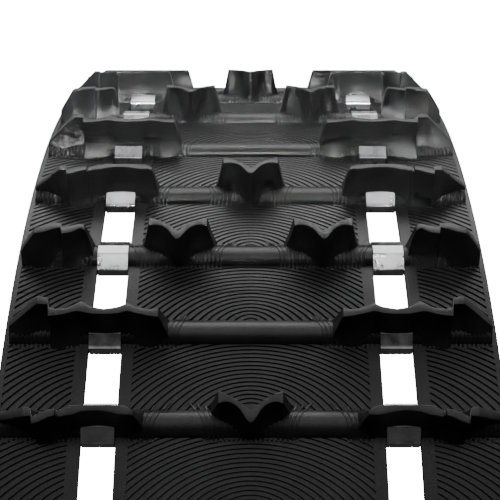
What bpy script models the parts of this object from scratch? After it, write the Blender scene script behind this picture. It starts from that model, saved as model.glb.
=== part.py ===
"""Endless rubber snowmobile track, standing on its lugs as a tall oval hoop.

Metres, +Z up, width along X, the front of the hoop towards -Y, lowest lug tips at Z = 0.
The belt is drawn flat first: x across, s along the travel, h outwards from mid-thickness.
Each row of lugs has one straight tile of belt, and the belt bends between the tiles.
"""

from math import cos, pi, radians, sin, tan

import bmesh
import bpy
from mathutils import Matrix, Vector

# Driving dimensions
BELT_WIDTH = 0.381
PITCH = 0.0762
ROWS = 42
ROWS_PER_SECTION = 3
SHARP_BEND = radians(36.0)  # between the two rows at the top, and the two at the bottom
PLAIN_BEND = (2 * pi - 2 * SHARP_BEND) / (ROWS - 2)

BELT_HALF_THICKNESS = 0.003
SECTION_END_GAP = 0.0008  # room for the belt to flex where two sections meet
LUG_HEIGHT = 0.03175
LUG_TOP_HALF = 0.006
LUG_FOOT_HALF = 0.0105
LUG_OUTER_MARGIN = 0.0045
LONG_PADDLE_END = 0.062  # distance from the centreline to each paddle's inner end
MIDDLE_PADDLE_END = 0.084
SHORT_PADDLE_END = 0.133
PADDLE_OUTER_SLOPE = 0.034
PADDLE_INNER_SLOPE = 0.007
CHEVRON_FOOT_HALF = 0.031
CHEVRON_TOP_HALF = 0.024
CHEVRON_DIP_HALF = 0.004
CHEVRON_DIP = 0.007
CHEVRON_PAIR_CENTRE = 0.0595

BAR_FOOT_HALF = 0.0105
BAR_TOP_HALF = 0.006
BAR_HEIGHT = 0.0065

WINDOW_CENTRE = 0.1135
WINDOW_WIDTH = 0.0274
WINDOW_EDGE_FROM_ROD = 0.015

ROD_RADIUS = 0.0036
ROD_LEVEL = 0.003
ROD_SIDES = 6

CLIP_SHEET = 0.0015
CLIP_TOP_HALF = 0.0063
CLIP_SLOPE_SHARE = 0.3  # how much of the sheet's thickness shows at the foot of the slope
GAP = 0.0003

CRIMP_HALF_WIDTH = 0.0015
CRIMP_HALF_LENGTH = 0.002

DRIVE_LUG_HEIGHT = 0.024
DRIVE_LUG_CENTRES = (0.076, 0.151)
DRIVE_LUG_FOOT = (0.018, 0.030)
DRIVE_LUG_TOP = (0.010, 0.014)

SINK = 0.001  # how far one shape reaches into the next before they are joined
CLOSE = 1e-6  # two places this near are the same place
PADDLE_EDGE_SHARE = 0.25  # height of the paddle at the belt's edge, as a share of the full height
SHORT_PADDLE_ROW = 2  # the row of each three whose paddles stop short of the clips

BELT_TOP = BELT_HALF_THICKNESS
BAR_TOP = BELT_TOP + BAR_HEIGHT
LUG_TOP = BELT_TOP + LUG_HEIGHT
HALF_WIDTH = BELT_WIDTH / 2
BAR_END = HALF_WIDTH - LUG_OUTER_MARGIN


def clear_scene():
    for obj in list(bpy.data.objects):
        bpy.data.objects.remove(obj)


def make_collection(name):
    made = bpy.data.collections.new(name)
    bpy.context.scene.collection.children.link(made)
    return made


def make_material(name, colour, roughness, metallic):
    material = bpy.data.materials.new(name)
    material.use_nodes = True
    shader = material.node_tree.nodes["Principled BSDF"]
    shader.inputs["Base Color"].default_value = (*colour, 1.0)
    shader.inputs["Roughness"].default_value = roughness
    shader.inputs["Metallic"].default_value = metallic
    return material


def helper_object(name, bm, collection):
    """A hidden working shape, used as a base or a cutter."""
    bmesh.ops.recalc_face_normals(bm, faces=bm.faces)
    mesh = bpy.data.meshes.new(name)
    bm.to_mesh(mesh)
    bm.free()
    obj = bpy.data.objects.new(name, mesh)
    obj.hide_render = True
    obj.display_type = "WIRE"
    collection.objects.link(obj)
    return obj


def add_box(bm, low, high):
    size = [b - a for a, b in zip(low, high)]
    middle = [(a + b) / 2 for a, b in zip(low, high)]
    place = Matrix.Translation(middle) @ Matrix.Diagonal((*size, 1.0))
    return bmesh.ops.create_cube(bm, size=1.0, matrix=place)["verts"]


def add_tapered_box(bm, middle, foot, top, foot_level, top_level):
    """A box whose foot and top are different rectangles, each (across, along)."""
    for vert in add_box(bm, (-0.5, -0.5, 0.0), (0.5, 0.5, 1.0)):
        size = top if vert.co.z > 0.5 else foot
        level = top_level if vert.co.z > 0.5 else foot_level
        vert.co = Vector((middle[0] + vert.co.x * size[0], middle[1] + vert.co.y * size[1], level))


def add_bar_outline(bm, outline, x_low, x_high):
    """A prism along X from an outline of (s, h) points."""
    face = bm.faces.new([bm.verts.new((x_low, s, h)) for s, h in outline])
    moved = bmesh.ops.extrude_face_region(bm, geom=[face], use_keep_orig=True)["geom"]
    verts = [item for item in moved if isinstance(item, bmesh.types.BMVert)]
    bmesh.ops.translate(bm, verts=verts, vec=(x_high - x_low, 0, 0))


def add_lug_outline(bm, outline, rod_s):
    """A lug from its outline (x, h) seen along the travel, thinner at the top than at the foot."""
    face = bm.faces.new([bm.verts.new((x, -1.0, h)) for x, h in outline])
    moved = bmesh.ops.extrude_face_region(bm, geom=[face], use_keep_orig=True)["geom"]
    for item in moved:
        if isinstance(item, bmesh.types.BMVert):
            item.co.y = 1.0
    loose = {vert for vert in bm.verts if abs(abs(vert.co.y) - 1.0) < CLOSE}
    for vert in loose:
        share = (vert.co.z - BELT_TOP) / LUG_HEIGHT
        half = LUG_FOOT_HALF + (LUG_TOP_HALF - LUG_FOOT_HALF) * share
        vert.co.y = rod_s + half * (1.0 if vert.co.y > 0 else -1.0)


def paddle_outline(inner_end, side):
    """The long outer paddle: it runs from the belt's edge inwards over the window column."""
    foot = BELT_TOP - SINK
    points = [
        (BAR_END, foot),
        (BAR_END, BELT_TOP + LUG_HEIGHT * PADDLE_EDGE_SHARE),
        (BAR_END - PADDLE_OUTER_SLOPE, LUG_TOP),
        (inner_end + PADDLE_INNER_SLOPE, LUG_TOP),
        (inner_end, foot),
    ]
    return [(side * x, h) for x, h in points]


def chevron_outline(centre):
    """A chevron lug: two raised shoulders either side of a lower middle."""
    half = [
        (CHEVRON_FOOT_HALF, BELT_TOP - SINK),
        (CHEVRON_TOP_HALF, LUG_TOP),
        (CHEVRON_DIP_HALF, LUG_TOP),
    ]
    points = [*half, (0.0, LUG_TOP - CHEVRON_DIP), *[(-x, h) for x, h in reversed(half)]]
    return [(centre + x, h) for x, h in points]


def row_outlines(row):
    """The lugs of the three rows that repeat round the belt."""
    if row == 0:
        return [paddle_outline(LONG_PADDLE_END, side) for side in (1, -1)]
    if row == 1:
        return [paddle_outline(MIDDLE_PADDLE_END, side) for side in (1, -1)] + [chevron_outline(0.0)]
    ends = [paddle_outline(SHORT_PADDLE_END, side) for side in (1, -1)]
    return ends + [chevron_outline(side * CHEVRON_PAIR_CENTRE) for side in (1, -1)]


def clip_outline(outside):
    """The bent steel clip in (s, h): its inner line stands GAP off the rubber."""
    grow = CLIP_SHEET if outside else 0.0
    leg = WINDOW_EDGE_FROM_ROD + GAP + grow
    under = -BELT_HALF_THICKNESS - GAP - grow
    shoulder = BELT_TOP + GAP + grow * CLIP_SLOPE_SHARE
    top = BAR_TOP + GAP + grow
    half = [(leg, under), (leg, shoulder), (CLIP_TOP_HALF, top)]
    return half + [(-s, h) for s, h in reversed(half)]


def grown(outline, amount):
    """The outline moved outwards along both axes, for a cutter with clearance."""
    level = (BAR_TOP - BELT_HALF_THICKNESS) / 2
    return [(s + amount * (1 if s > 0 else -1), h + amount * (1 if h > level else -1)) for s, h in outline]


def shifted(outline, rod_s):
    return [(s + rod_s, h) for s, h in outline]


def rod_s_of(row):
    return (row + 0.5) * PITCH


def slab_shape(bm):
    """The belt itself, divided where it bends."""
    for row in range(ROWS_PER_SECTION):
        low = (-HALF_WIDTH, row * PITCH, -BELT_HALF_THICKNESS)
        add_box(bm, low, (HALF_WIDTH, (row + 1) * PITCH, BELT_TOP))
    bmesh.ops.remove_doubles(bm, verts=bm.verts, dist=CLOSE)
    middles = [row * PITCH for row in range(1, ROWS_PER_SECTION)]
    inner = [f for f in bm.faces if any(abs(f.calc_center_median().y - m) < CLOSE for m in middles)]
    bmesh.ops.delete(bm, geom=inner, context="FACES_ONLY")


def raised_shapes(bm, row):
    """The bar over the rod and the drive lugs inside, for one row."""
    rod_s = rod_s_of(row)
    bar = [(BAR_FOOT_HALF, BELT_TOP - SINK), (BAR_TOP_HALF, BAR_TOP)]
    bar += [(-s, h) for s, h in reversed(bar)]
    add_bar_outline(bm, shifted(bar, rod_s), -BAR_END, BAR_END)
    inside = -BELT_HALF_THICKNESS
    for side in (1, -1):
        for centre in DRIVE_LUG_CENTRES:
            middle = (side * centre, rod_s)
            add_tapered_box(
                bm, middle, DRIVE_LUG_FOOT, DRIVE_LUG_TOP, inside + SINK, inside - DRIVE_LUG_HEIGHT
            )


def window_shapes(bm):
    """Through windows between the rows, also half a window at each end of the section."""
    for row in range(ROWS_PER_SECTION + 1):
        middle = row * PITCH
        half = PITCH / 2 - WINDOW_EDGE_FROM_ROD
        for side in (1, -1):
            centre = side * WINDOW_CENTRE
            add_box(
                bm,
                (centre - WINDOW_WIDTH / 2, middle - half, -2 * BELT_HALF_THICKNESS),
                (centre + WINDOW_WIDTH / 2, middle + half, 2 * BELT_HALF_THICKNESS),
            )


def rod_cylinder(bm, radius, length, rod_s):
    place = (
        Matrix.Translation((0, rod_s, ROD_LEVEL))
        @ Matrix.Rotation(pi / 2, 4, "Y")
        @ Matrix.Rotation(pi / ROD_SIDES, 4, "Z")
    )
    bmesh.ops.create_cone(
        bm, cap_ends=True, segments=ROD_SIDES, radius1=radius, radius2=radius, depth=length, matrix=place
    )


def clip_clearance(bm, rod_s):
    """Room above the bar for each clip, under the paddles that cross it."""
    room = [(s, h) for s, h in grown(clip_outline(True), GAP) if h > 0]
    room = [(room[0][0], BELT_TOP), *room, (room[-1][0], BELT_TOP)]
    roof = shifted(room, rod_s)
    bar = [(BAR_FOOT_HALF, BELT_TOP), (BAR_TOP_HALF, BAR_TOP)]
    floor = shifted([*bar, *[(-s, h) for s, h in reversed(bar)]], rod_s)
    outline = roof + list(reversed(floor))
    for side in (1, -1):
        centre = side * WINDOW_CENTRE
        add_bar_outline(bm, outline, centre - WINDOW_WIDTH / 2, centre + WINDOW_WIDTH / 2)


def crimp_box(bm, centre, rod_s, clearance):
    half_x = CRIMP_HALF_WIDTH + clearance
    half_s = CRIMP_HALF_LENGTH + clearance
    top = BAR_TOP + GAP + CLIP_SHEET / 2
    add_box(bm, (centre - half_x, rod_s - half_s, ROD_LEVEL), (centre + half_x, rod_s + half_s, top))


def combine(base, tool, operation):
    modifier = base.modifiers.new(operation.lower(), "BOOLEAN")
    modifier.operation = operation
    modifier.object = tool
    modifier.solver = "EXACT"
    return modifier


def finished_mesh(obj, name):
    """The object's shape with its modifiers applied, as a new mesh."""
    bpy.context.view_layer.update()
    graph = bpy.context.evaluated_depsgraph_get()
    mesh = bpy.data.meshes.new_from_object(obj.evaluated_get(graph))
    mesh.name = name
    return mesh


def flat_section(helpers):
    """Three rows of belt, drawn flat: the same pattern serves every section."""
    bm = bmesh.new()
    slab_shape(bm)
    base = helper_object("flat_slab", bm, helpers)
    for row in range(ROWS_PER_SECTION):
        rod_s = rod_s_of(row)
        bm = bmesh.new()
        raised_shapes(bm, row)
        combine(base, helper_object(f"flat_bar_{row}", bm, helpers), "UNION")
        bm = bmesh.new()
        for outline in row_outlines(row):
            add_lug_outline(bm, outline, rod_s)
        combine(base, helper_object(f"flat_lugs_{row}", bm, helpers), "UNION")
        if row != SHORT_PADDLE_ROW:
            bm = bmesh.new()
            clip_clearance(bm, rod_s)
            combine(base, helper_object(f"clip_room_{row}", bm, helpers), "DIFFERENCE")
        bm = bmesh.new()
        rod_cylinder(bm, ROD_RADIUS + GAP, 2 * BAR_END + SINK, rod_s)
        combine(base, helper_object(f"rod_bore_{row}", bm, helpers), "DIFFERENCE")
        bm = bmesh.new()
        for side in (1, -1):
            crimp_box(bm, side * WINDOW_CENTRE, rod_s, GAP)
        combine(base, helper_object(f"crimp_room_{row}", bm, helpers), "DIFFERENCE")
    bm = bmesh.new()
    window_shapes(bm)
    combine(base, helper_object("windows", bm, helpers), "DIFFERENCE")
    return finished_mesh(base, "flat_section")


def flat_rod(helpers):
    """A cross rod with its two clips crimped on, drawn at s = 0."""
    bm = bmesh.new()
    rod_cylinder(bm, ROD_RADIUS, 2 * BAR_END - SINK, 0.0)
    base = helper_object("flat_rod", bm, helpers)
    for side in (1, -1):
        half = WINDOW_WIDTH / 2 - GAP
        centre = side * WINDOW_CENTRE
        bm = bmesh.new()
        add_bar_outline(bm, clip_outline(True), centre - half, centre + half)
        clip = helper_object(f"clip_{side}", bm, helpers)
        bm = bmesh.new()
        add_bar_outline(bm, clip_outline(False), centre - half - SINK, centre + half + SINK)
        combine(clip, helper_object(f"clip_hollow_{side}", bm, helpers), "DIFFERENCE")
        bm = bmesh.new()
        crimp_box(bm, centre, 0.0, 0.0)
        combine(clip, helper_object(f"clip_crimp_{side}", bm, helpers), "UNION")
        combine(base, clip, "UNION")
    return finished_mesh(base, "flat_rod")


def tile_slopes():
    """The travel direction of each tile, measured down from the front, starting at the top."""
    slopes = [SHARP_BEND / 2]
    for row in range(1, ROWS):
        bend = SHARP_BEND if row == ROWS // 2 else PLAIN_BEND
        slopes.append(slopes[-1] + bend)
    return slopes


def travel(slope):
    return Vector((0.0, -cos(slope), -sin(slope)))


def outward(slope):
    return Vector((0.0, -sin(slope), cos(slope)))


def bend_points(slopes):
    """Where the belt's mid-thickness bends: the start of each tile, the loop's middle at Y = 0."""
    points = [Vector((0.0, 0.0, 0.0))]
    for slope in slopes:
        points.append(points[-1] + PITCH * travel(slope))
    lug_tip = points[ROWS // 2] + outward(slopes[ROWS // 2]) * LUG_TOP
    lug_tip += travel(slopes[ROWS // 2]) * (PITCH / 2 - LUG_TOP_HALF)
    for point in points:
        point.z -= lug_tip.z
    return points


def on_loop(s, h, first_row, slopes, points):
    """The place on the loop of a point s along a section and h out from its mid-thickness."""
    row = min(max(int(s / PITCH + CLOSE), 0), ROWS_PER_SECTION - 1)
    if abs(s - row * PITCH) < CLOSE and 0 < row:
        before, after = slopes[first_row + row - 1], slopes[first_row + row]
        middle = (before + after) / 2
        return points[first_row + row] + outward(middle) * h / cos((after - before) / 2)
    tile = first_row + row
    along = s - row * PITCH
    return points[tile] + travel(slopes[tile]) * along + outward(slopes[tile]) * h


def end_shift(s, h, first_row):
    """The section's two end faces follow the mitre of the bend there, set back by the gap."""
    length = ROWS_PER_SECTION * PITCH
    if s < CLOSE:
        bend = SHARP_BEND if first_row % (ROWS // 2) == 0 else PLAIN_BEND
        return s + SECTION_END_GAP - h * tan(bend / 2)
    if s > length - CLOSE:
        bend = SHARP_BEND if (first_row + ROWS_PER_SECTION) % (ROWS // 2) == 0 else PLAIN_BEND
        return s - SECTION_END_GAP + h * tan(bend / 2)
    return s


def bent_copy(flat, name, first_row, s_offset, slopes, points):
    mesh = flat.copy()
    mesh.name = name
    is_section = s_offset == 0.0
    for vert in mesh.vertices:
        x, s, h = vert.co
        if is_section:
            s = end_shift(s, h, first_row)
        place = on_loop(s + s_offset, h, first_row, slopes, points)
        vert.co = (-x, place.y, place.z)  # x across, s and h are left-handed, so x is turned round
    return mesh


def add_node(name, mesh, material, origin, collection):
    """Places a finished mesh as its own object with its origin at the given point."""
    mesh.materials.clear()
    mesh.materials.append(material)
    for vert in mesh.vertices:
        vert.co -= origin
    obj = bpy.data.objects.new(name, mesh)
    obj.location = origin
    collection.objects.link(obj)


def main():
    clear_scene()
    track = make_collection("rubber_track")
    helpers = make_collection("track_cutters")
    rubber = make_material("black_rubber", (0.03, 0.03, 0.032), 0.55, 0.0)
    steel = make_material("clip_steel", (0.62, 0.62, 0.63), 0.3, 1.0)
    slopes = tile_slopes()
    points = bend_points(slopes)
    section = flat_section(helpers)
    rod = flat_rod(helpers)
    for index in range(ROWS // ROWS_PER_SECTION):
        first_row = index * ROWS_PER_SECTION
        name = f"belt_section_{index + 1:02d}"
        mesh = bent_copy(section, name, first_row, 0.0, slopes, points)
        add_node(name, mesh, rubber, points[first_row], track)
    for row in range(ROWS):
        name = f"cross_rod_with_clips_{row + 1:02d}"
        mesh = bent_copy(rod, name, row, PITCH / 2, slopes, points)
        middle = points[row] + travel(slopes[row]) * PITCH / 2
        add_node(name, mesh, steel, middle, track)


main()
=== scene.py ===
from math import cos, pi, radians, sin

import bmesh
import bpy
import numpy as np
from mathutils import Euler, Matrix, Vector


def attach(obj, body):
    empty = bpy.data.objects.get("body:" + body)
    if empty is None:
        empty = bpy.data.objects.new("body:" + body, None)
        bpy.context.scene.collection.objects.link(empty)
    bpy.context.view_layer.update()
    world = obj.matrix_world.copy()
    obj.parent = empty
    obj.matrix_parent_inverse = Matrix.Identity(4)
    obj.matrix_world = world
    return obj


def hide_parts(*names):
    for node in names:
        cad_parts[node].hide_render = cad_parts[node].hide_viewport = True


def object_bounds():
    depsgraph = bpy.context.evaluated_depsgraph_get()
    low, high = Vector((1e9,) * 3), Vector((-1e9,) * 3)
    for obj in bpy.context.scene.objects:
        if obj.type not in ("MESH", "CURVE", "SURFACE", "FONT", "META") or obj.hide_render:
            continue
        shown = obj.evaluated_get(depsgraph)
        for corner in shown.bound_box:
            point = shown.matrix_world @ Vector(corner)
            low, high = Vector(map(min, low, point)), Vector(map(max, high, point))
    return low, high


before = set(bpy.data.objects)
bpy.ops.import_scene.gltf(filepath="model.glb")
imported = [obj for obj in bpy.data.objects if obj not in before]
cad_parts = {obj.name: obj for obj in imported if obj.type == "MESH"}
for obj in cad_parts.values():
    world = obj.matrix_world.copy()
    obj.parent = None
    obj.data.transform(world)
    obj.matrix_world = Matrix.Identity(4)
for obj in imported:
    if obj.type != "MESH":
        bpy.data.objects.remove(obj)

cadLow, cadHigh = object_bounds()

# The belt is drawn flat in metres: x across, s along the travel, h outwards from mid-thickness.
loop = {
    "pitch": 0.0762,
    "rows": 42,
    "rowsPerLink": 3,
    "sharpBend": radians(36.0),     # over the top and under the bottom of the loop
    "centre": (cadLow + cadHigh) / 2,
    "lugsAtBend": 0.77,             # the lugs on both sides of a sharp bend are a little lower
    "snap": 1e-6,                   # how near two measures count as the same
}
belt = {
    "halfWidth": 0.1905,
    "top": 0.003,
    "inside": -0.003,
    "windowCentre": 0.1120,
    "windowHalf": 0.0128,
    "windowFromRod": 0.0150,
    "strip": 0.0095,                # plain strip on both sides of a window column
    "margin": 0.0045,
    "bends": (0.0228, 0.0305),      # where a tile is divided so that it can curve
}


def slopeOf(row):
    plain = (2 * pi - 2 * loop["sharpBend"]) / (loop["rows"] - 2)
    half = loop["rows"] // 2
    turned = loop["sharpBend"] / 2 + plain * (row % half)
    return turned + pi * (row // half)


def bendBefore(row):
    plain = (2 * pi - 2 * loop["sharpBend"]) / (loop["rows"] - 2)
    return loop["sharpBend"] if row % (loop["rows"] // 2) == 0 else plain


def travel(slope):
    return np.array([-cos(slope), -sin(slope)])


def outward(slope):
    return np.array([-sin(slope), cos(slope)])


def rodPoints():
    # the places of the rods, as (y, z), from the loop's middle
    starts = [np.zeros(2)]
    for row in range(loop["rows"]):
        starts.append(starts[-1] + loop["pitch"] * travel(slopeOf(row)))
    middle = (starts[0] + starts[loop["rows"] // 2]) / 2
    centre = np.array([loop["centre"].y, loop["centre"].z])
    return [
        starts[row] - middle + centre + travel(slopeOf(row)) * loop["pitch"] / 2
        for row in range(loop["rows"])
    ]


rods = rodPoints()


def curvedOnLoop(flat, row):
    # rubber follows the curve of the belt between the rods
    slope = slopeOf(row)
    x, s, h = flat[:, 0], flat[:, 1], flat[:, 2]
    if loop["sharpBend"] in (bendBefore(row), bendBefore(row + 1)):
        raised = belt["top"] + bar["height"]
        h = np.where(h > raised, raised + (h - raised) * loop["lugsAtBend"], h)
    bend = np.where(s > 0, bendBefore(row + 1), bendBefore(row))
    radius = loop["pitch"] / 2 / np.tan(bend / 2)
    angle = s / loop["pitch"] * bend
    inPlane = rods[row] - radius[:, None] * outward(slope)
    inPlane = inPlane + (radius + h)[:, None] * (
        np.cos(angle)[:, None] * outward(slope) + np.sin(angle)[:, None] * travel(slope)
    )
    return np.column_stack([-x, inPlane])       # x is turned round, so that faces keep their side


def straightOnRod(flat, row):
    # steel and glass fibre stay straight
    slope = slopeOf(row)
    inPlane = rods[row] + flat[:, 1:2] * travel(slope) + flat[:, 2:3] * outward(slope)
    return np.column_stack([-flat[:, 0], inPlane])


def flatMesh(name, bm):
    mesh = bpy.data.meshes.new(name)
    bmesh.ops.recalc_face_normals(bm, faces=bm.faces)
    bm.to_mesh(mesh)
    bm.free()
    return mesh


def placedCopy(mesh, row, place):
    copy = mesh.copy()
    flat = np.empty(len(copy.vertices) * 3)
    copy.vertices.foreach_get("co", flat)
    copy.vertices.foreach_set("co", place(flat.reshape(-1, 3), row).ravel())
    return copy


def joined(meshes, weld=0.0):
    bm = bmesh.new()
    for mesh in meshes:
        bm.from_mesh(mesh)
        bpy.data.meshes.remove(mesh)
    if weld:
        bmesh.ops.remove_doubles(bm, verts=bm.verts, dist=weld)
    return bm


def makePiece(name, bm, material, body, replaced, sharpAngle=radians(38)):
    mesh = bpy.data.meshes.new(name)
    bm.to_mesh(mesh)
    bm.free()
    mesh.shade_smooth()
    mesh.set_sharp_from_angle(angle=sharpAngle)
    mesh.materials.append(material)
    piece = bpy.data.objects.new(name, mesh)
    bpy.context.scene.collection.objects.link(piece)
    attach(piece, body)
    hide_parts(*replaced)
    return piece


def cutAt(bm, axis, value, clearAbove=False, clearBelow=False):
    point = [0.0, 0.0, 0.0]
    normal = [0.0, 0.0, 0.0]
    point[axis] = value
    normal[axis] = 1.0
    geom = bm.verts[:] + bm.edges[:] + bm.faces[:]
    bmesh.ops.bisect_plane(
        bm, geom=geom, plane_co=point, plane_no=normal, clear_outer=clearAbove, clear_inner=clearBelow
    )


def dropFaces(bm, unwanted):
    faces = [face for face in bm.faces if unwanted(face.calc_center_median())]
    bmesh.ops.delete(bm, geom=faces, context="FACES")


def columnsOf():
    inner = belt["windowCentre"] - belt["windowHalf"]
    outer = belt["windowCentre"] + belt["windowHalf"]
    return inner, outer


panelInner = belt["windowCentre"] - belt["windowHalf"] - belt["strip"]
panelOuter = belt["windowCentre"] + belt["windowHalf"] + belt["strip"]
panelEnd = belt["halfWidth"] - belt["margin"]


def inPanel(x):
    # the ribbed areas: the middle of the belt and the two outer bands
    return abs(x) < panelInner or panelOuter < abs(x) < panelEnd


bar = {
    "footHalf": 0.0105,
    "height": 0.0065,
    "end": 0.1860,
    "steps": 14,
    "roundEnd": 0.0016,
    "endHeight": 0.72,      # the last millimetres are this much lower and narrower
    "endWidth": 0.9,
    "fullness": (2.2, 0.62),        # powers that give the outline its shape, along and upwards
    "overlap": 0.0006,      # the panels reach this far under the bar
    "sunk": 0.0001,
}


def barLevel(s):
    # the outline of the bar over a rod: a low half-round that runs out softly at its feet
    along, upwards = bar["fullness"]
    reach = min(abs(s) / bar["footHalf"], 1.0)
    return belt["top"] + bar["height"] * (1 - reach ** along) ** upwards


def carcassTile(keepStart, keepEnd):
    inner, outer = columnsOf()
    half = loop["pitch"] / 2
    bm = bmesh.new()
    size = Matrix.Diagonal((2 * belt["halfWidth"], loop["pitch"], 1.0, 1.0))
    lift = Matrix.Translation((0, 0, belt["top"]))
    bmesh.ops.create_grid(bm, x_segments=1, y_segments=1, size=0.5, matrix=lift @ size)
    xCuts = (panelInner, inner, outer, panelOuter, panelEnd)
    sCuts = (bar["footHalf"] - bar["overlap"], belt["windowFromRod"], *belt["bends"])
    for value in xCuts:
        cutAt(bm, 0, value)
        cutAt(bm, 0, -value)
    for value in sCuts:
        cutAt(bm, 1, value)
        cutAt(bm, 1, -value)
    dropFaces(bm, lambda c: inner < abs(c.x) < outer and abs(c.y) > belt["windowFromRod"])
    below = bmesh.ops.extrude_face_region(bm, geom=bm.faces[:], use_keep_orig=True)["geom"]
    moved = [item for item in below if isinstance(item, bmesh.types.BMVert)]
    bmesh.ops.translate(bm, verts=moved, vec=(0, 0, belt["inside"] - belt["top"]))
    near = loop["snap"]
    dropFaces(bm, lambda c: not keepStart and c.y < -half + near)
    dropFaces(bm, lambda c: not keepEnd and c.y > half - near)
    dropFaces(bm, lambda c: c.z > belt["top"] - near and abs(c.y) > sCuts[0] and inPanel(c.x))
    return bm


groove = {
    "rib": 0.64,                # share of the spacing that is rib
    "wall": 0.08,
    "depth": 0.0016,
    "lower": 0.0002,            # the ribs lie this far below the plain strips
    "skirt": 0.0022,
    "flatness": 2.6,            # radius of an arc over its height above the rod's foot
    "steps": 40,
    "spare": 1.05,              # the arcs turn this much past the width they have to cover
}
panelArcs = (
    {"centre": 0.0, "low": -panelInner, "high": panelInner, "spacing": 0.0034, "reach": 0.12},
    {"centre": 0.105, "low": panelOuter, "high": panelEnd, "spacing": 0.0038, "reach": 0.10},
    {"centre": -0.105, "low": -panelEnd, "high": -panelOuter, "spacing": 0.0038, "reach": 0.10},
)


def arcSheet(arcs, foot):
    # nested arcs of ribs and grooves, all the same shape but growing, each reaching backwards
    count = round(arcs["reach"] / arcs["spacing"])
    bm = bmesh.new()
    size = Matrix.Diagonal((2.0, 1.0, 1.0, 1.0))
    bmesh.ops.create_grid(bm, x_segments=groove["steps"], y_segments=4 * count, size=0.5, matrix=size)
    top = belt["top"] - groove["lower"]
    offsets = (0.0, groove["rib"], groove["rib"] + groove["wall"], 1.0 - groove["wall"])
    flat = groove["flatness"]
    turn = groove["spare"] * np.arccos((flat - 1) / flat)
    for vert in bm.verts:
        ring = round((vert.co.y + 0.5) * 4 * count)
        height = arcs["spacing"] * (ring // 4 + offsets[ring % 4])
        angle = vert.co.x * turn
        x = arcs["centre"] + flat * height * sin(angle)
        s = foot - flat * height * cos(angle) + (flat - 1) * height
        vert.co = (x, s, top - (groove["depth"] if ring % 4 in (2, 3) else 0.0))
    return bm


def groovedPanel(arcs, foot, low, high):
    bm = arcSheet(arcs, foot)
    cutAt(bm, 1, low, clearBelow=True)
    cutAt(bm, 1, high, clearAbove=True)
    cutAt(bm, 0, arcs["low"], clearBelow=True)
    cutAt(bm, 0, arcs["high"], clearAbove=True)
    rim = [edge for edge in bm.edges if edge.is_boundary]
    skirt = bmesh.ops.extrude_edge_only(bm, edges=rim)["geom"]
    for item in skirt:
        if isinstance(item, bmesh.types.BMVert):
            item.co.z = belt["top"] - groove["skirt"]
    return bm


def barShape():
    bm = bmesh.new()
    span = bar["footHalf"]
    points = [-span * cos(pi * step / bar["steps"]) for step in range(bar["steps"] + 1)]
    chain = [bm.verts.new((-bar["end"], s, barLevel(s) - bar["sunk"])) for s in points]
    edges = [bm.edges.new(pair) for pair in zip(chain, chain[1:])]
    edges.append(bm.edges.new((chain[-1], chain[0])))
    bm.faces.new(chain)
    for x in (-bar["end"] + bar["roundEnd"], bar["end"] - bar["roundEnd"], bar["end"]):
        made = bmesh.ops.extrude_edge_only(bm, edges=edges)["geom"]
        edges = [item for item in made if isinstance(item, bmesh.types.BMEdge)]
        for item in made:
            if isinstance(item, bmesh.types.BMVert):
                item.co.x = x
    bmesh.ops.edgenet_fill(bm, edges=edges)
    for vert in bm.verts:
        if abs(vert.co.x) > bar["end"] - loop["snap"]:
            vert.co.z = belt["top"] + (vert.co.z - belt["top"]) * bar["endHeight"]
            vert.co.y *= bar["endWidth"]
    return bm


rib = {
    "spacing": 0.0034,
    "footHalf": 0.0012,
    "topHalf": 0.0006,
    "height": 0.0005,
    "past": 0.0036,         # how far a rib runs past the bar's front foot
    "behind": 0.0060,       # how far the flared ones run out behind the bar
    "flare": 0.0120,
    "flared": 5,
    "flareFrom": 0.004,     # the flare starts this far before the bar's top
    "flareCurve": 1.7,
    "sunk": 0.0004,
    "easing": (8, 6),       # how quickly a rib rises at its rear and its front end
    "steps": 14,
}


def ribStrip(bm, x, lean):
    # a fine rib over the bar, from behind its rear foot to just past its front foot
    start = -bar["footHalf"] - rib["behind"] * abs(lean) / rib["flare"]
    end = bar["footHalf"] + rib["past"]
    made = bmesh.ops.create_grid(bm, x_segments=3, y_segments=rib["steps"], size=1.0)["verts"]
    across = (-rib["footHalf"], -rib["topHalf"], rib["topHalf"], rib["footHalf"])
    raised = (-rib["sunk"], rib["height"], rib["height"], -rib["sunk"])
    easeRear, easeFront = rib["easing"]
    flareFrom = rib["flareFrom"]
    for vert in made:
        column = round((vert.co.x + 1) / 2 * 3)
        share = (vert.co.y + 1) / 2
        s = start + (end - start) * share
        spread = lean * (max(0.0, flareFrom - s) / (flareFrom - start)) ** rib["flareCurve"]
        ease = min(1.0, easeFront * (1 - share), easeRear * share)
        level = barLevel(s) + raised[column] * ease
        vert.co = (x + across[column] + spread, s, level)


def ribField(bm, low, high, flareLow=False, flareHigh=False):
    # ribs from low to high across the belt; those nearest a flared side lean outwards
    count = round((high - low) / rib["spacing"])
    inner, outer = columnsOf()
    for index in range(count + 1):
        x = low + (high - low) * index / count
        if inner - rib["footHalf"] < abs(x) < outer + rib["footHalf"]:
            continue
        lean = 0.0
        if flareLow and index < rib["flared"]:
            lean = -rib["flare"] * (1 - index / rib["flared"])
        if flareHigh and count - index < rib["flared"]:
            lean = rib["flare"] * (1 - (count - index) / rib["flared"])
        ribStrip(bm, x, lean)


lug = {
    "height": 0.03175,
    "foot": 0.0026,
    "levels": 12,
    "levelCurve": 1.3,      # over one, the levels are closer together at the foot
    "leanCurve": 0.8,
    "topRound": 0.0005,
}


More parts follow.
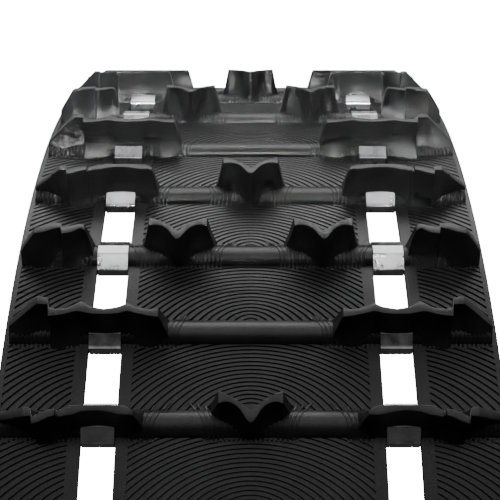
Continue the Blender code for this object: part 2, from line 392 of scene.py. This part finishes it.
def raiseLug(bm, count, place):
    # a strip of faces from the front line to the rear line, raised level by level
    station = bm.verts.layers.int.get("station") or bm.verts.layers.int.new("station")
    side = bm.verts.layers.int.get("side") or bm.verts.layers.int.new("side")
    pairs = []
    for index in range(count):
        pair = []
        for which in (0, 1):
            vert = bm.verts.new(place(index, which, 0.0))
            vert[station] = index
            vert[side] = which
            pair.append(vert)
        pairs.append(pair)
    faces = [bm.faces.new((a[0], b[0], b[1], a[1])) for a, b in zip(pairs, pairs[1:])]
    for level in range(1, lug["levels"] + 1):
        made = bmesh.ops.extrude_face_region(bm, geom=faces)["geom"]
        faces = [item for item in made if isinstance(item, bmesh.types.BMFace)]
        for item in made:
            if isinstance(item, bmesh.types.BMVert):
                rise = (level / lug["levels"]) ** lug["levelCurve"]
                item.co = place(item[station], item[side], rise)
    rim = [edge for face in faces for edge in face.edges]
    rim = [edge for edge in set(rim) if sum(face in faces for face in edge.link_faces) == 1]
    bmesh.ops.bevel(
        bm, geom=rim, offset=lug["topRound"], segments=2, profile=0.5, affect="EDGES", material=-1
    )


# across from its middle, rear and front edge of the top, front edge of the foot, how late the front flares
chevron = {
    "footHalf": 0.0310,
    "topHalf": 0.0235,
    "footRear": -0.0150,
    "rearCurve": 1.6,
    "stations": 41,
    "outline": (
        (0.00, 0.8, 9.8, 12.0, 1.0),
        (0.07, 0.2, 9.4, 11.8, 1.0),
        (0.13, -1.6, 7.6, 11.6, 1.4),
        (0.20, -2.6, 5.2, 11.8, 2.6),
        (0.32, -4.6, 0.6, 11.0, 2.8),
        (0.46, -7.2, -2.4, 9.4, 2.8),
        (0.62, -9.0, -4.4, 6.6, 2.6),
        (0.76, -10.6, -4.9, 2.6, 2.0),
        (0.86, -12.2, -4.6, -1.6, 1.2),
        (1.00, -12.6, -3.8, -8.0, 1.2),
    ),
}


def chevronLug(bm, centre):
    last = chevron["stations"] - 1
    table = np.array(chevron["outline"])

    def place(index, which, rise):
        across = 2 * index / last - 1
        rear, front, foot, late = (np.interp(abs(across), table[:, 0], table[:, k]) for k in range(1, 5))
        narrowed = rise ** lug["leanCurve"]
        half = chevron["footHalf"] + (chevron["topHalf"] - chevron["footHalf"]) * narrowed
        if which == 0:
            s = (front + (foot - front) * (1 - rise) ** late) / 1000
        else:
            s = rear / 1000 + (chevron["footRear"] - rear / 1000) * (1 - rise) ** chevron["rearCurve"]
        level = lug["foot"] + (belt["top"] + lug["height"] - lug["foot"]) * rise
        return Vector((centre + across * half, s, level))

    raiseLug(bm, chevron["stations"], place)


# each line: place across, rear and front edge of the top, front edge of the foot, height, all in mm
full = 34.75
longPaddle = (
    (69.5, -1.9, 5.4, 8.0, full), (72.0, -1.5, 5.2, 11.0, full), (78.0, -0.9, 4.4, 14.0, full),
    (84.0, -2.4, 2.8, 13.0, full), (88.0, -3.6, 1.8, 11.0, full), (91.5, -5.4, 0.9, 9.0, full),
    (93.6, -6.6, 0.7, 8.0, full), (96.0, -5.0, 1.2, 8.0, full), (99.7, -3.3, 2.4, 8.0, full),
    (105.0, -2.2, 2.9, 8.0, full), (111.0, -1.4, 3.1, 8.0, full), (119.5, -3.0, 2.9, 8.0, full),
    (125.0, -5.9, 1.8, 9.0, full), (128.6, -8.1, 0.9, 10.5, full), (131.5, -6.4, 0.7, 12.0, full),
    (134.4, -4.4, 1.3, 13.0, full), (139.6, -1.9, 3.1, 12.5, full), (147.0, -1.4, 4.4, 15.0, full),
    (151.8, -2.6, 4.8, 15.0, full), (152.2, -2.8, 4.6, 15.0, full), (153.6, -10.7, -5.0, 13.0, full),
    (158.0, -11.6, -5.3, 9.5, full), (161.8, -12.3, -5.3, 7.5, full), (163.0, -12.0, -4.9, 7.2, 33.8),
    (170.0, -10.0, -3.2, 9.5, 27.5), (178.0, -7.6, -1.2, 10.5, 20.0), (186.0, -5.0, 0.8, 10.5, 12.5),
)
middlePaddle = (
    (84.0, 0.8, 4.4, 8.0, 33.4), (86.6, -0.4, 4.2, 10.0, full), (90.4, -2.4, 4.4, 12.0, full),
    (95.0, -2.7, 3.9, 10.5, full), (99.7, -2.7, 2.7, 8.0, full), (105.0, -2.7, 1.7, 8.0, full),
    (111.0, -2.7, 1.3, 8.0, full), (117.0, -2.7, 1.6, 8.0, full), (122.0, -2.7, 2.4, 8.0, full),
    (127.4, -2.7, 4.4, 8.5, full), (131.0, -2.5, 4.7, 10.0, full), (135.6, 0.2, 5.9, 12.0, full),
    (137.2, 0.6, 5.9, 12.0, full), (137.8, 0.4, 4.4, 12.0, 32.6), (139.2, 0.2, 4.4, 12.4, 32.6),
    (139.8, -0.1, 4.8, 12.4, full), (144.0, 0.2, 6.2, 14.0, full), (150.0, 2.6, 9.2, 15.5, full),
    (155.0, 5.4, 10.8, 16.0, full), (155.6, 5.6, 10.6, 15.5, full), (157.0, -0.6, 5.0, 13.0, full),
    (162.6, -1.6, 5.6, 9.5, full), (164.0, -1.8, 5.4, 8.5, 33.4), (171.0, -2.4, 4.2, 5.0, 26.5),
    (178.0, -3.6, 2.6, 1.0, 19.5), (186.0, -4.6, 0.8, -2.0, 12.5),
)
shortPaddle = (
    (132.5, -4.6, 0.4, 9.0, 33.2), (134.5, -5.6, -0.4, 11.0, full), (137.0, -6.3, -1.2, 12.5, full),
    (140.0, -5.4, 1.2, 13.0, full), (144.0, -4.0, 3.2, 13.0, full), (150.2, -2.2, 4.4, 13.5, full),
    (150.8, -2.2, 4.3, 13.5, full), (152.4, -7.3, -1.9, 12.5, full), (158.0, -6.8, -0.4, 12.0, full),
    (165.0, -5.2, 2.6, 12.5, full), (172.4, -1.8, 4.3, 13.0, full), (174.0, -1.6, 4.6, 13.0, 33.2),
    (180.0, -1.4, 5.0, 10.5, 24.0), (186.0, -1.2, 5.4, 10.0, 14.5),
)
paddle = {
    "lines": (longPaddle, middlePaddle, shortPaddle),
    "lean": (0.0070, 0.0060, 0.0055),       # how far the inner end leans over from foot to top
    "leanFades": 0.0100,
    "late": (3.0, 1.3),         # how late the front flares out to its foot, inside and at the outer end
    "endFrom": (0.156, 0.166),
    "footRear": -0.0105,
    "rearStep": 0.002,          # the rear foot is at least this far behind the top
    "rearCurve": 1.7,
}


def paddleLug(bm, kind, side):
    lines = np.array(paddle["lines"][kind]) / 1000
    start = lines[0, 0]

    def place(index, which, rise):
        x, rear, front, foot, height = lines[index]
        lean = paddle["lean"][kind] * max(0.0, 1 - (x - start) / paddle["leanFades"])
        if which == 0:
            late = np.interp(x, paddle["endFrom"], paddle["late"])
            s = front + (foot - front) * (1 - rise) ** late
        else:
            footRear = min(paddle["footRear"], rear - paddle["rearStep"])
            s = rear + (footRear - rear) * (1 - rise) ** paddle["rearCurve"]
        level = lug["foot"] + (height - lug["foot"]) * rise
        return Vector((side * (x - lean * (1 - rise) ** lug["leanCurve"]), s, level))

    raiseLug(bm, len(lines), place)


# small pointed shelves beside the steps in the paddles: corners across and along, top and depth, in mm
shelfFoot = 0.5         # how far behind its rearmost corner a shelf ends, in mm
shelves = (
    {"kind": 0, "corners": ((168.5, -6.0), (160.0, 1.0), (153.8, -6.0)), "top": 28.5, "drop": 9.0},
    {"kind": 1, "corners": ((170.0, 4.0), (160.5, 9.5), (155.5, 4.0)), "top": 29.5, "drop": 8.0},
    {"kind": 2, "corners": ((168.0, 0.0), (152.0, 6.0), (151.0, -2.0)), "top": 27.0, "drop": 9.0},
)


def stepShelf(bm, shelf, side):
    # a three-sided prism whose corners are moved to the shelf's, in the order they stand round it
    made = bmesh.ops.create_cone(bm, cap_ends=True, segments=3, radius1=1.0, radius2=1.0, depth=2.0)["verts"]
    back = min(s for x, s in shelf["corners"]) - shelfFoot
    for vert in made:
        third = (np.arctan2(vert.co.y, vert.co.x) % (2 * pi)) / (2 * pi / 3)
        x, s = shelf["corners"][round(third - 0.25) % 3]
        below = vert.co.z < 0
        level = shelf["top"] - (shelf["drop"] if below else 0.0)
        vert.co = Vector((side * x, back if below else s, level)) / 1000


driveLug = {
    "centres": (0.076, 0.151),
    "foot": (0.018, 0.030),
    "top": (0.010, 0.014),
    "height": 0.024,
    "round": 0.0016,
    "sunk": 0.001,
}


def driveLugs(bm):
    for side in (1, -1):
        for centre in driveLug["centres"]:
            made = bmesh.ops.create_cube(bm, size=1.0)["verts"]
            for vert in made:
                size = driveLug["foot"] if vert.co.z > 0 else driveLug["top"]
                rise = driveLug["sunk"] if vert.co.z > 0 else -driveLug["height"]
                level = belt["inside"] + rise
                vert.co = (side * centre + vert.co.x * size[0], vert.co.y * size[1], level)
            edges = {edge for vert in made for edge in vert.link_edges}
            edges = [edge for edge in edges if min(v.co.z for v in edge.verts) < belt["inside"]]
            bmesh.ops.bevel(
                bm, geom=edges, offset=driveLug["round"], segments=3, profile=0.5, affect="EDGES", material=-1
            )


rowPlan = {
    "pairCentre": 0.0585,       # the middle of each of two V-shaped lugs
    "besideV": 0.034,           # ribs reach this far on both sides of a V-shaped lug
    "ribsFrom": (0.056, 0.072, 0.130),      # where the ribs under each kind of paddles start
    "ribsTo": 0.004,            # and how far they stop before the bar's end
}
vCentres = ((), (0.0,), (rowPlan["pairCentre"], -rowPlan["pairCentre"]))        # for each kind of row


def rowRibs(kind):
    bm = bmesh.new()
    start, end = rowPlan["ribsFrom"][kind], bar["end"] - rowPlan["ribsTo"]
    flared = kind != 2
    ribField(bm, start, end, flareLow=flared)
    ribField(bm, -end, -start, flareHigh=flared)
    for centre in vCentres[kind]:
        ribField(bm, centre - rowPlan["besideV"], centre + rowPlan["besideV"], True, True)
    return bm


def rowLugs(kind):
    bm = bmesh.new()
    for side in (1, -1):
        paddleLug(bm, kind, side)
        for shelf in shelves:
            if shelf["kind"] == kind:
                stepShelf(bm, shelf, side)
    for centre in vCentres[kind]:
        chevronLug(bm, centre)
    driveLugs(bm)
    return bm


def rowPattern(kind):
    # everything raised on one row's tile: panels, bar, ribs, lugs and drive lugs
    half = loop["pitch"] / 2
    foot = bar["footHalf"] - bar["overlap"]
    parts = [barShape()]
    for arcs in panelArcs:
        parts.append(groovedPanel(arcs, -bar["footHalf"], -half, -foot))
        parts.append(groovedPanel(arcs, loop["pitch"] - bar["footHalf"], foot, half))
    parts += [rowRibs(kind), rowLugs(kind)]
    return joined([flatMesh("part", part) for part in parts])


def buildBelt(rubber):
    patterns = [flatMesh(f"pattern{kind}", rowPattern(kind)) for kind in range(3)]
    carcasses = [flatMesh(f"carcass{kind}", carcassTile(kind == 0, kind == 2)) for kind in range(3)]
    for link in range(loop["rows"] // loop["rowsPerLink"]):
        rows = [link * loop["rowsPerLink"] + kind for kind in range(3)]
        tiles = [placedCopy(carcasses[kind], row, curvedOnLoop) for kind, row in enumerate(rows)]
        bm = joined(tiles, weld=2 * loop["snap"])
        for kind, row in enumerate(rows):
            raised = placedCopy(patterns[kind], row, curvedOnLoop)
            bm.from_mesh(raised)
            bpy.data.meshes.remove(raised)
        number = f"{link + 1:02d}"
        makePiece(
            f"belt_{number}", bm, rubber, f"belt_link_{number}", [f"belt_section_{number}"]
        )
    print("belt built")


clip = {
    "halfWidth": 0.0124,
    "sheet": 0.0014,
    "flange": 0.0161,
    "flangeLevel": 0.0040,
    "slopeFoot": 0.0134,
    "slopeFootLevel": 0.0050,
    "topHalf": 0.0046,
    "topLevel": 0.0108,
    "under": -0.0040,
    "underReach": 0.0060,
    "bend": 0.0009,
    "edge": 0.0002,
    "sharpAngle": radians(8),
}


def clipShape(side):
    outline = [
        (clip["underReach"], clip["under"]),
        (clip["flange"], clip["under"]),
        (clip["flange"], clip["flangeLevel"]),
        (clip["slopeFoot"], clip["slopeFootLevel"]),
        (clip["topHalf"], clip["topLevel"]),
    ]
    outline = [(-s, h) for s, h in outline] + outline[::-1]
    bm = bmesh.new()
    x = side * belt["windowCentre"] - clip["halfWidth"]
    chain = [bm.verts.new((x, s, h)) for s, h in outline]
    edges = [bm.edges.new(pair) for pair in zip(chain, chain[1:])]
    made = bmesh.ops.extrude_edge_only(bm, edges=edges)["geom"]
    moved = [item for item in made if isinstance(item, bmesh.types.BMVert)]
    bmesh.ops.translate(bm, verts=moved, vec=(2 * clip["halfWidth"], 0, 0))
    bends = [edge for edge in bm.edges if not edge.is_boundary]
    bmesh.ops.bevel(bm, geom=bends, offset=clip["bend"], segments=2, profile=0.5, affect="EDGES", material=-1)
    bmesh.ops.recalc_face_normals(bm, faces=bm.faces)
    bmesh.ops.solidify(bm, geom=bm.faces[:], thickness=clip["sheet"])
    bmesh.ops.recalc_face_normals(bm, faces=bm.faces)
    sharp = [edge for edge in bm.edges if edge.calc_face_angle(0) > radians(60)]
    bmesh.ops.bevel(bm, geom=sharp, offset=clip["edge"], segments=1, profile=0.5, affect="EDGES", material=-1)
    return bm


rod = {"radius": 0.0036, "level": 0.003, "half": 0.1855, "sides": 20, "chamfer": 0.0004}


def rodShape():
    bm = bmesh.new()
    place = Matrix.Translation((0, 0, rod["level"])) @ Matrix.Rotation(pi / 2, 4, "Y")
    bmesh.ops.create_cone(
        bm, cap_ends=True, segments=rod["sides"], radius1=rod["radius"], radius2=rod["radius"],
        depth=2 * rod["half"], matrix=place,
    )
    rims = [edge for edge in bm.edges if edge.calc_face_angle(0) > radians(60)]
    bmesh.ops.bevel(
        bm, geom=rims, offset=rod["chamfer"], segments=1, profile=0.5, affect="EDGES", material=-1
    )
    return bm


def buildHardware(steel, fibre):
    clipMeshes = [flatMesh("clip", clipShape(side)) for side in (1, -1)]
    rodMesh = flatMesh("rod", rodShape())
    for row in range(loop["rows"]):
        body = f"belt_link_{row // loop['rowsPerLink'] + 1:02d}"
        number = f"{row + 1:02d}"
        node = [f"cross_rod_with_clips_{number}"]
        bm = joined([placedCopy(mesh, row, straightOnRod) for mesh in clipMeshes])
        makePiece(f"clips_{number}", bm, steel, body, node, clip["sharpAngle"])
        bm = joined([placedCopy(rodMesh, row, straightOnRod)])
        makePiece(f"cross_rod_{number}", bm, fibre, body, node)
    print("clips and rods built")


def newMaterial(name):
    material = bpy.data.materials.new(name)
    material.use_nodes = True
    tree = material.node_tree
    return material, tree, tree.nodes["Principled BSDF"]


def grainGroup():
    # fine moulded grain and slow mottling, as masks that change over the surface
    group = bpy.data.node_groups.new("mouldGrain", "ShaderNodeTree")
    face = group.interface
    face.new_socket("Position", in_out="INPUT", socket_type="NodeSocketVector")
    face.new_socket("Grain Scale", in_out="INPUT", socket_type="NodeSocketFloat")
    face.new_socket("Mottle Scale", in_out="INPUT", socket_type="NodeSocketFloat")
    face.new_socket("Grain", in_out="OUTPUT", socket_type="NodeSocketFloat")
    face.new_socket("Mottle", in_out="OUTPUT", socket_type="NodeSocketFloat")
    entry = group.nodes.new("NodeGroupInput")
    leave = group.nodes.new("NodeGroupOutput")
    fine = group.nodes.new("ShaderNodeTexNoise")
    fine.inputs["Detail"].default_value = 4.0
    fine.inputs["Roughness"].default_value = 0.62
    slow = group.nodes.new("ShaderNodeTexNoise")
    slow.inputs["Detail"].default_value = 6.0
    slow.inputs["Roughness"].default_value = 0.55
    link = group.links.new
    link(entry.outputs["Position"], fine.inputs["Vector"])
    link(entry.outputs["Position"], slow.inputs["Vector"])
    link(entry.outputs["Grain Scale"], fine.inputs["Scale"])
    link(entry.outputs["Mottle Scale"], slow.inputs["Scale"])
    link(fine.outputs["Fac"], leave.inputs["Grain"])
    link(slow.outputs["Fac"], leave.inputs["Mottle"])
    return group


def addGrain(tree, group, grainScale, mottleScale):
    place = tree.nodes.new("ShaderNodeTexCoord")
    grain = tree.nodes.new("ShaderNodeGroup")
    grain.node_tree = group
    grain.inputs["Grain Scale"].default_value = grainScale
    grain.inputs["Mottle Scale"].default_value = mottleScale
    tree.links.new(place.outputs["Object"], grain.inputs["Position"])
    return grain


def rampBetween(tree, source, low, high, lowAt=0.35, highAt=0.65):
    ramp = tree.nodes.new("ShaderNodeValToRGB")
    ramp.color_ramp.elements[0].position = lowAt
    ramp.color_ramp.elements[0].color = (*low, 1.0)
    ramp.color_ramp.elements[1].position = highAt
    ramp.color_ramp.elements[1].color = (*high, 1.0)
    tree.links.new(source, ramp.inputs["Fac"])
    return ramp.outputs["Color"]


def addBump(tree, shader, height, strength, distance):
    bump = tree.nodes.new("ShaderNodeBump")
    bump.inputs["Strength"].default_value = strength
    bump.inputs["Distance"].default_value = distance
    tree.links.new(height, bump.inputs["Height"])
    tree.links.new(bump.outputs["Normal"], shader.inputs["Normal"])


def mouldedMaterial(name, group, look):
    # worn in patches: the mottling changes the colour, and the grain gives the bump
    material, tree, shader = newMaterial(name)
    shader.inputs["Metallic"].default_value = look["metallic"]
    shader.inputs["Specular IOR Level"].default_value = look["specular"]
    grain = addGrain(tree, group, look["grainScale"], look["mottleScale"])
    mottle = grain.outputs["Mottle"]
    colour = rampBetween(tree, mottle, look["dark"], look["light"], *look["mottleRange"])
    smooth, dull = (look["smooth"],) * 3, (look["dull"],) * 3
    rough = rampBetween(tree, grain.outputs[look["roughBy"]], smooth, dull)
    tree.links.new(colour, shader.inputs["Base Color"])
    tree.links.new(rough, shader.inputs["Roughness"])
    addBump(tree, shader, grain.outputs["Grain"], look["bump"], look["bumpHeight"])
    return material


rubberLook = {
    "dark": (0.0085, 0.0085, 0.0090),
    "light": (0.0165, 0.0165, 0.0170),
    "mottleRange": (0.35, 0.65),
    "roughBy": "Grain",
    "smooth": 0.27,
    "dull": 0.45,
    "metallic": 0.0,
    "specular": 0.36,
    "grainScale": 900.0,
    "mottleScale": 38.0,
    "bump": 0.7,
    "bumpHeight": 0.0004,
}
steelLook = {
    "dark": (0.36, 0.36, 0.37),
    "light": (0.52, 0.52, 0.53),
    "mottleRange": (0.3, 0.7),
    "roughBy": "Mottle",
    "smooth": 0.24,
    "dull": 0.36,
    "metallic": 1.0,
    "specular": 0.5,
    "grainScale": 700.0,
    "mottleScale": 90.0,
    "bump": 0.15,
    "bumpHeight": 0.0001,
}
fibreLook = {
    "dark": (0.30, 0.27, 0.20),
    "light": (0.46, 0.42, 0.31),
    "mottleRange": (0.35, 0.65),
    "roughBy": "Mottle",
    "smooth": 0.45,
    "dull": 0.6,
    "metallic": 0.0,
    "specular": 0.5,
    "grainScale": 1400.0,
    "mottleScale": 260.0,
    "bump": 0.3,
    "bumpHeight": 0.0001,
}


camera = {
    "place": (-0.0005, -1.2323, 0.8602),
    "pitchUp": radians(7.26),
    "lens": 78.8,
    "sensor": 36.0,
    "nearest": 0.01,
    "farthest": 100.0,
}


def addCamera():
    data = bpy.data.cameras.new("camera")
    data.lens = camera["lens"]
    data.sensor_width = camera["sensor"]
    data.clip_start = camera["nearest"]
    data.clip_end = camera["farthest"]
    made = bpy.data.objects.new("camera", data)
    made.location = camera["place"]
    made.rotation_euler = Euler((pi / 2 + camera["pitchUp"], 0.0, 0.0))
    bpy.context.scene.collection.objects.link(made)
    bpy.context.scene.camera = made


lights = (
    {
        "name": "overhead_softbox",
        "place": (0.0, -0.30, 2.9),
        "target": (0.0, -0.25, 0.9),
        "size": (2.4, 0.8),
        "power": 38.0,
        "spread": 180.0,
    },
    {
        "name": "front_softbox",
        "place": (0.0, -2.9, 2.75),
        "target": (0.0, -0.3, 1.0),
        "size": (3.0, 1.1),
        "power": 15.0,
        "spread": 180.0,
    },
    {
        "name": "upper_fill",       # a narrow beam on the lugs' fronts near the top
        "place": (0.0, -2.2, 1.28),
        "target": (0.0, -0.1, 1.15),
        "size": (1.2, 0.12),
        "power": 2.0,
        "spread": 13.0,
    },
)


def addLight(light):
    data = bpy.data.lights.new(light["name"], "AREA")
    data.spread = radians(light["spread"])
    data.shape = "RECTANGLE"
    data.size, data.size_y = light["size"]
    data.energy = light["power"]
    made = bpy.data.objects.new(light["name"], data)
    made.location = light["place"]
    aim = Vector(light["target"]) - Vector(light["place"])
    made.rotation_euler = aim.to_track_quat("-Z", "Y").to_euler()
    bpy.context.scene.collection.objects.link(made)


studio = {
    "seen": 20.0,           # the camera sees plain white
    "sky": 0.60,            # while the belt is lit by a weak sky that is darker below
    "ground": 0.015,
    "from": 0.02,
    "to": 0.60,
    "floorRadius": 6.0,
    "floorRoughness": 0.7,
    "floorSeen": 0.85,      # pale to the camera, and darker to the belt, so that its undersides stay deep
    "floorFelt": 0.06,
}


def addWorld():
    world = bpy.data.worlds.new("studio")
    bpy.context.scene.world = world
    world.use_nodes = True
    tree = world.node_tree
    place = tree.nodes.new("ShaderNodeTexCoord")
    parts = tree.nodes.new("ShaderNodeSeparateXYZ")
    rise = tree.nodes.new("ShaderNodeMapRange")
    rise.inputs["From Min"].default_value = studio["from"]
    rise.inputs["From Max"].default_value = studio["to"]
    rise.inputs["To Min"].default_value = studio["ground"]
    rise.inputs["To Max"].default_value = studio["sky"]
    path = tree.nodes.new("ShaderNodeLightPath")
    mix = tree.nodes.new("ShaderNodeMix")
    mix.inputs["B"].default_value = studio["seen"]
    tree.links.new(place.outputs["Generated"], parts.inputs["Vector"])
    tree.links.new(parts.outputs["Z"], rise.inputs["Value"])
    tree.links.new(path.outputs["Is Camera Ray"], mix.inputs["Factor"])
    tree.links.new(rise.outputs["Result"], mix.inputs["A"])
    tree.nodes["Background"].inputs["Color"].default_value = (1, 1, 1, 1)
    tree.links.new(mix.outputs["Result"], tree.nodes["Background"].inputs["Strength"])


def cardMaterial():
    # white for the camera from its outer side, and nothing at all for light or from behind
    material = bpy.data.materials.new("white_card")
    material.use_nodes = True
    tree = material.node_tree
    tree.nodes.remove(tree.nodes["Principled BSDF"])
    glow = tree.nodes.new("ShaderNodeEmission")
    glow.inputs["Strength"].default_value = studio["seen"]
    clear = tree.nodes.new("ShaderNodeBsdfTransparent")
    path = tree.nodes.new("ShaderNodeLightPath")
    side = tree.nodes.new("ShaderNodeNewGeometry")
    front = tree.nodes.new("ShaderNodeMath")
    front.operation = "SUBTRACT"
    front.use_clamp = True
    mix = tree.nodes.new("ShaderNodeMixShader")
    tree.links.new(path.outputs["Is Camera Ray"], front.inputs[0])
    tree.links.new(side.outputs["Backfacing"], front.inputs[1])
    tree.links.new(front.outputs["Value"], mix.inputs["Fac"])
    tree.links.new(clear.outputs["BSDF"], mix.inputs[1])
    tree.links.new(glow.outputs["Emission"], mix.inputs[2])
    tree.links.new(mix.outputs["Shader"], tree.nodes["Material Output"].inputs["Surface"])
    return material


card = {"half": 0.129, "level": -0.034, "links": 4, "steps": 4}


def addCards():
    # paper inside the loop behind the windows, so that they read white from outside
    material = cardMaterial()
    size = Matrix.Diagonal((2 * card["half"], loop["pitch"], 1.0, 1.0))
    lift = Matrix.Translation((0, 0, card["level"]))
    for link in range(card["links"]):
        bm = bmesh.new()
        for row in range(link * loop["rowsPerLink"], (link + 1) * loop["rowsPerLink"]):
            made = bmesh.ops.create_grid(
                bm, x_segments=1, y_segments=card["steps"], size=0.5, matrix=lift @ size
            )["verts"]
            placed = curvedOnLoop(np.array([vert.co[:] for vert in made]), row)
            for vert, place in zip(made, placed):
                vert.co = place
        mesh = bpy.data.meshes.new("window_card")
        bm.to_mesh(mesh)
        bm.free()
        mesh.materials.append(material)
        made = bpy.data.objects.new("window_card", mesh)
        bpy.context.scene.collection.objects.link(made)
        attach(made, f"belt_link_{link + 1:02d}")


def addFloor():
    material, tree, shader = newMaterial("floor_paint")
    path = tree.nodes.new("ShaderNodeLightPath")
    mix = tree.nodes.new("ShaderNodeMix")
    mix.data_type = "RGBA"
    mix.inputs[6].default_value = (*(studio["floorFelt"],) * 3, 1)      # its colour A
    mix.inputs[7].default_value = (*(studio["floorSeen"],) * 3, 1)      # and B
    tree.links.new(path.outputs["Is Camera Ray"], mix.inputs["Factor"])
    tree.links.new(mix.outputs[2], shader.inputs["Base Color"])
    shader.inputs["Roughness"].default_value = studio["floorRoughness"]
    bm = bmesh.new()
    bmesh.ops.create_circle(bm, cap_ends=True, segments=64, radius=studio["floorRadius"])
    mesh = bpy.data.meshes.new("floor")
    bm.to_mesh(mesh)
    bm.free()
    mesh.materials.append(material)
    floor = bpy.data.objects.new("floor", mesh)
    bpy.context.scene.collection.objects.link(floor)


addCamera()
addWorld()
addFloor()
addCards()
for light in lights:
    addLight(light)
print("camera and light set")

grainNodes = grainGroup()
rubber = mouldedMaterial("moulded_rubber", grainNodes, rubberLook)
steel = mouldedMaterial("zinc_plated_steel", grainNodes, steelLook)
fibre = mouldedMaterial("glass_fibre_rod", grainNodes, fibreLook)
print("materials made")
buildBelt(rubber)
buildHardware(steel, fibre)
